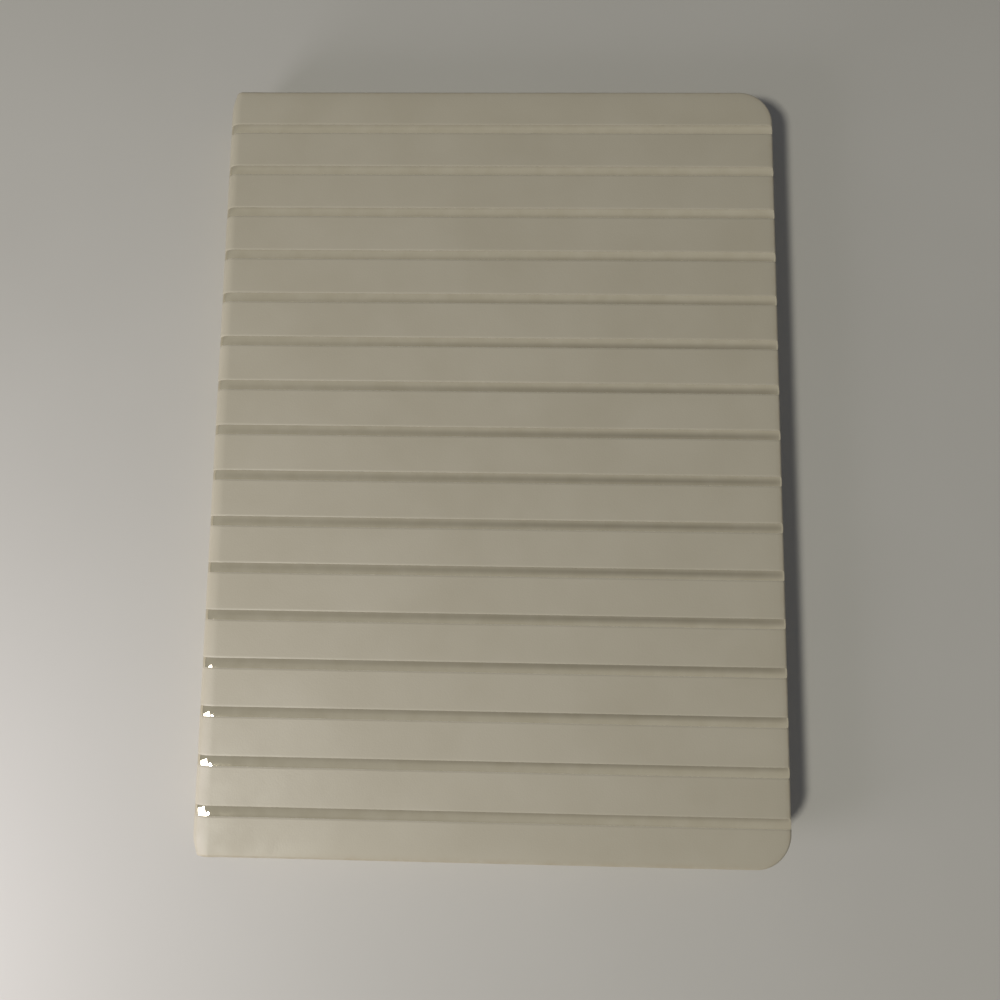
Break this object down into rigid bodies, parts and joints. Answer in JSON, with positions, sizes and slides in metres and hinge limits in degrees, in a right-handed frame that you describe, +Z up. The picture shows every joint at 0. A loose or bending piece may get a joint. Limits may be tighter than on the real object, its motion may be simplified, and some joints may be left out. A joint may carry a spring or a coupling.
{
  "type": "lined journal",
  "caption": "Closed journal with a smooth wrapped cover, rounded spine and fore-edge corners, metallic foil lines across cover and spine, and covers that open on hinges.",
  "frame": {"origin": "middle of the closed book's footprint, on the surface that it lies on", "axes": "+X from the spine to the fore-edge, +Y from the tail to the head, +Z up through the front cover"},
  "size_m": [0.151, 0.204, 0.015],
  "materials": {
    "skin": "satin",
    "foil": "polished",
    "board": "matte",
    "endpaper": "matte",
    "pages": "matte",
    "lining": "matte",
    "band": "satin"
  },
  "bodies": {
    "block": {"page_block": "pages", "front_flyleaf": "endpaper", "back_flyleaf": "endpaper", "spine_lining": "lining", "head_band": "band", "tail_band": "band", "spine_cover": "skin", "spine_card": "board", "spine_lines": "foil"},
    "front": {"front_cover": "skin", "front_board": "board", "front_pastedown": "endpaper", "front_lines": "foil"},
    "back": {"back_cover": "skin", "back_board": "board", "back_pastedown": "endpaper", "back_lines": "foil"}
  },
  "joints": [
    {"name": "front_hinge", "type": "hinge", "parent": "block", "child": "front", "pos_m": [-0.06785, 0, 0.01515], "axis": [0, -1, 0], "range_deg": [0, 178]},
    {"name": "back_hinge", "type": "hinge", "parent": "block", "child": "back", "pos_m": [-0.06785, 0, -0.00015], "axis": [0, 1, 0], "range_deg": [0, 178]}
  ]
}
